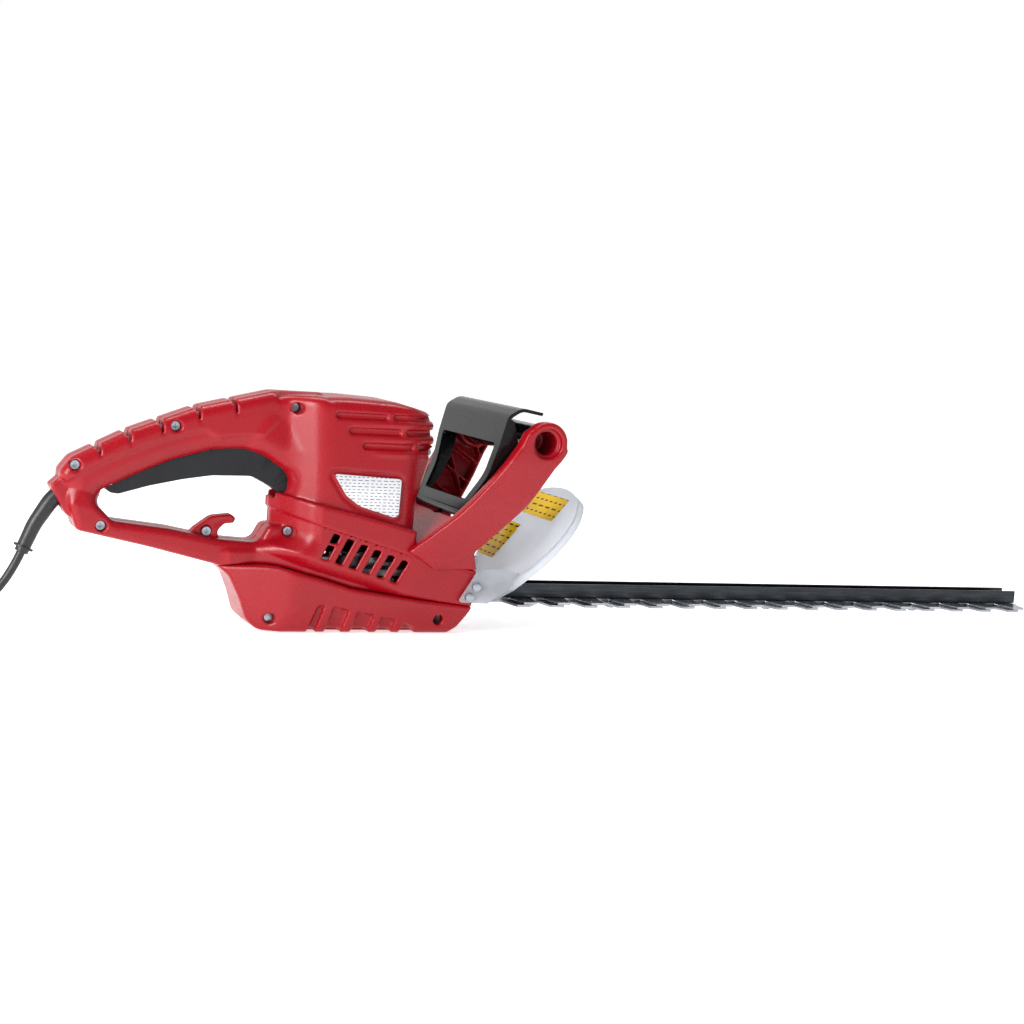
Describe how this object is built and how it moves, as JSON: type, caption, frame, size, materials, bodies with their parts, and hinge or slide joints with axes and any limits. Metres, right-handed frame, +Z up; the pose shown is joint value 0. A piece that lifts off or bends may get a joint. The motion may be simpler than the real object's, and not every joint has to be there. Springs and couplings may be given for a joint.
{
  "type": "electric hedge trimmer",
  "caption": "Corded hedge trimmer with loop handle, bail handle, two lever switches, clear hand guard, upright motor and two toothed reciprocating blades.",
  "frame": {"origin": "centre of the flat rest face under the base", "axes": "+X along the blades to their tip, +Z up, +Y to the operator's left"},
  "size_m": [1.1715, 0.1774, 0.1932],
  "materials": {
    "red_plastic": "grained red moulded plastic",
    "black_plastic": "satin black",
    "black_gloss_plastic": "gloss black",
    "switch_plastic": "dark grey",
    "guard_plastic": "milky translucent polycarbonate",
    "yellow_label": "printed film",
    "white_label": "printed film",
    "steel": "ground",
    "zinc_steel": "zinc plated",
    "blade_steel": "ground",
    "black_rail": "semi-gloss black",
    "cast_aluminium": "as cast",
    "bronze": "plain",
    "core_steel": "laminated",
    "copper": "enamelled wire",
    "carbon": "pressed carbon",
    "rubber": "matte"
  },
  "bodies": {
    "housing": {"bail_handle": "red_plastic", "base_screw": "zinc_steel", "base_tray": "red_plastic", "bearing_bridge": "switch_plastic", "blade_bolts": "zinc_steel", "blade_nuts": "zinc_steel", "blade_rail": "black_rail", "brush_holders": "bronze", "carbon_brushes": "carbon", "crossbar": "black_gloss_plastic", "field_coils": "copper", "front_lever_pin": "steel", "front_switch": "switch_plastic", "gear_plate": "cast_aluminium", "guard_screws": "zinc_steel", "hand_guard": "guard_plastic", "housing_screws": "zinc_steel", "left_housing": "red_plastic", "lower_bearing": "steel", "lower_bush": "bronze", "lower_warning_label": "yellow_label", "nameplate": "white_label", "plug_body": "rubber", "plug_pins": "bronze", "power_cord": "rubber", "rail_block": "cast_aluminium", "rail_screws": "zinc_steel", "rear_lever_pin": "steel", "rear_switch": "switch_plastic", "right_housing": "red_plastic", "stator_core": "core_steel", "strain_relief": "rubber", "upper_bearing": "steel", "upper_bush": "bronze", "upper_warning_label": "yellow_label"},
    "rotor": {"motor_shaft": "steel", "armature_core": "core_steel", "armature_windings": "copper", "commutator": "copper", "cooling_fan": "black_plastic"},
    "gear": {"drive_gear": "steel", "eccentric_cam": "steel", "gear_shaft": "steel"},
    "upper_blade": {"upper_blade": "blade_steel"},
    "lower_blade": {"lower_blade": "blade_steel"},
    "front_lever": {"front_lever": "black_plastic"},
    "rear_lever": {"rear_lever": "black_plastic"},
    "front_plunger": {"front_switch_plunger": "switch_plastic"},
    "rear_plunger": {"rear_switch_plunger": "switch_plastic"}
  },
  "joints": [
    {"name": "motor_spin", "type": "hinge", "parent": "housing", "child": "rotor", "pos_m": [0, 0, 0.1], "axis": [0, 0, 1], "continuous": true},
    {"name": "gear_spin", "type": "hinge", "parent": "housing", "child": "gear", "pos_m": [0.03562, 0, 0.04], "axis": [0, 0, 1], "continuous": true},
    {"name": "upper_blade_slide", "type": "slide", "parent": "housing", "child": "upper_blade", "axis": [1, 0, 0], "range_m": [-0.0079, 0.0079]},
    {"name": "lower_blade_slide", "type": "slide", "parent": "housing", "child": "lower_blade", "axis": [1, 0, 0], "range_m": [-0.0079, 0.0079]},
    {"name": "front_lever_press", "type": "hinge", "parent": "housing", "child": "front_lever", "pos_m": [0.081, 0, 0.103], "axis": [0, 1, 0], "range_deg": [0, 6.4], "stiffness_Nm_per_rad": 2, "springref_deg": -17.19},
    {"name": "rear_lever_press", "type": "hinge", "parent": "housing", "child": "rear_lever", "pos_m": [-0.201, 0, 0.114], "axis": [0, -1, 0], "range_deg": [0, 3], "stiffness_Nm_per_rad": 2, "springref_deg": -11.46},
    {"name": "front_plunger_slide", "type": "slide", "parent": "housing", "child": "front_plunger", "axis": [-1, 0, 0], "range_m": [0, 0.003]},
    {"name": "rear_plunger_slide", "type": "slide", "parent": "housing", "child": "rear_plunger", "axis": [0, 0, 1], "range_m": [0, 0.0026]}
  ],
  "couplings": [
    {"joint": "gear_spin", "follows": "motor_spin", "ratio": -0.1875},
    {"joint": "lower_blade_slide", "follows": "upper_blade_slide", "ratio": -1},
    {"joint": "front_plunger_slide", "follows": "front_lever_press", "m_per_rad": 0.023},
    {"joint": "rear_plunger_slide", "follows": "rear_lever_press", "m_per_rad": 0.045}
  ]
}
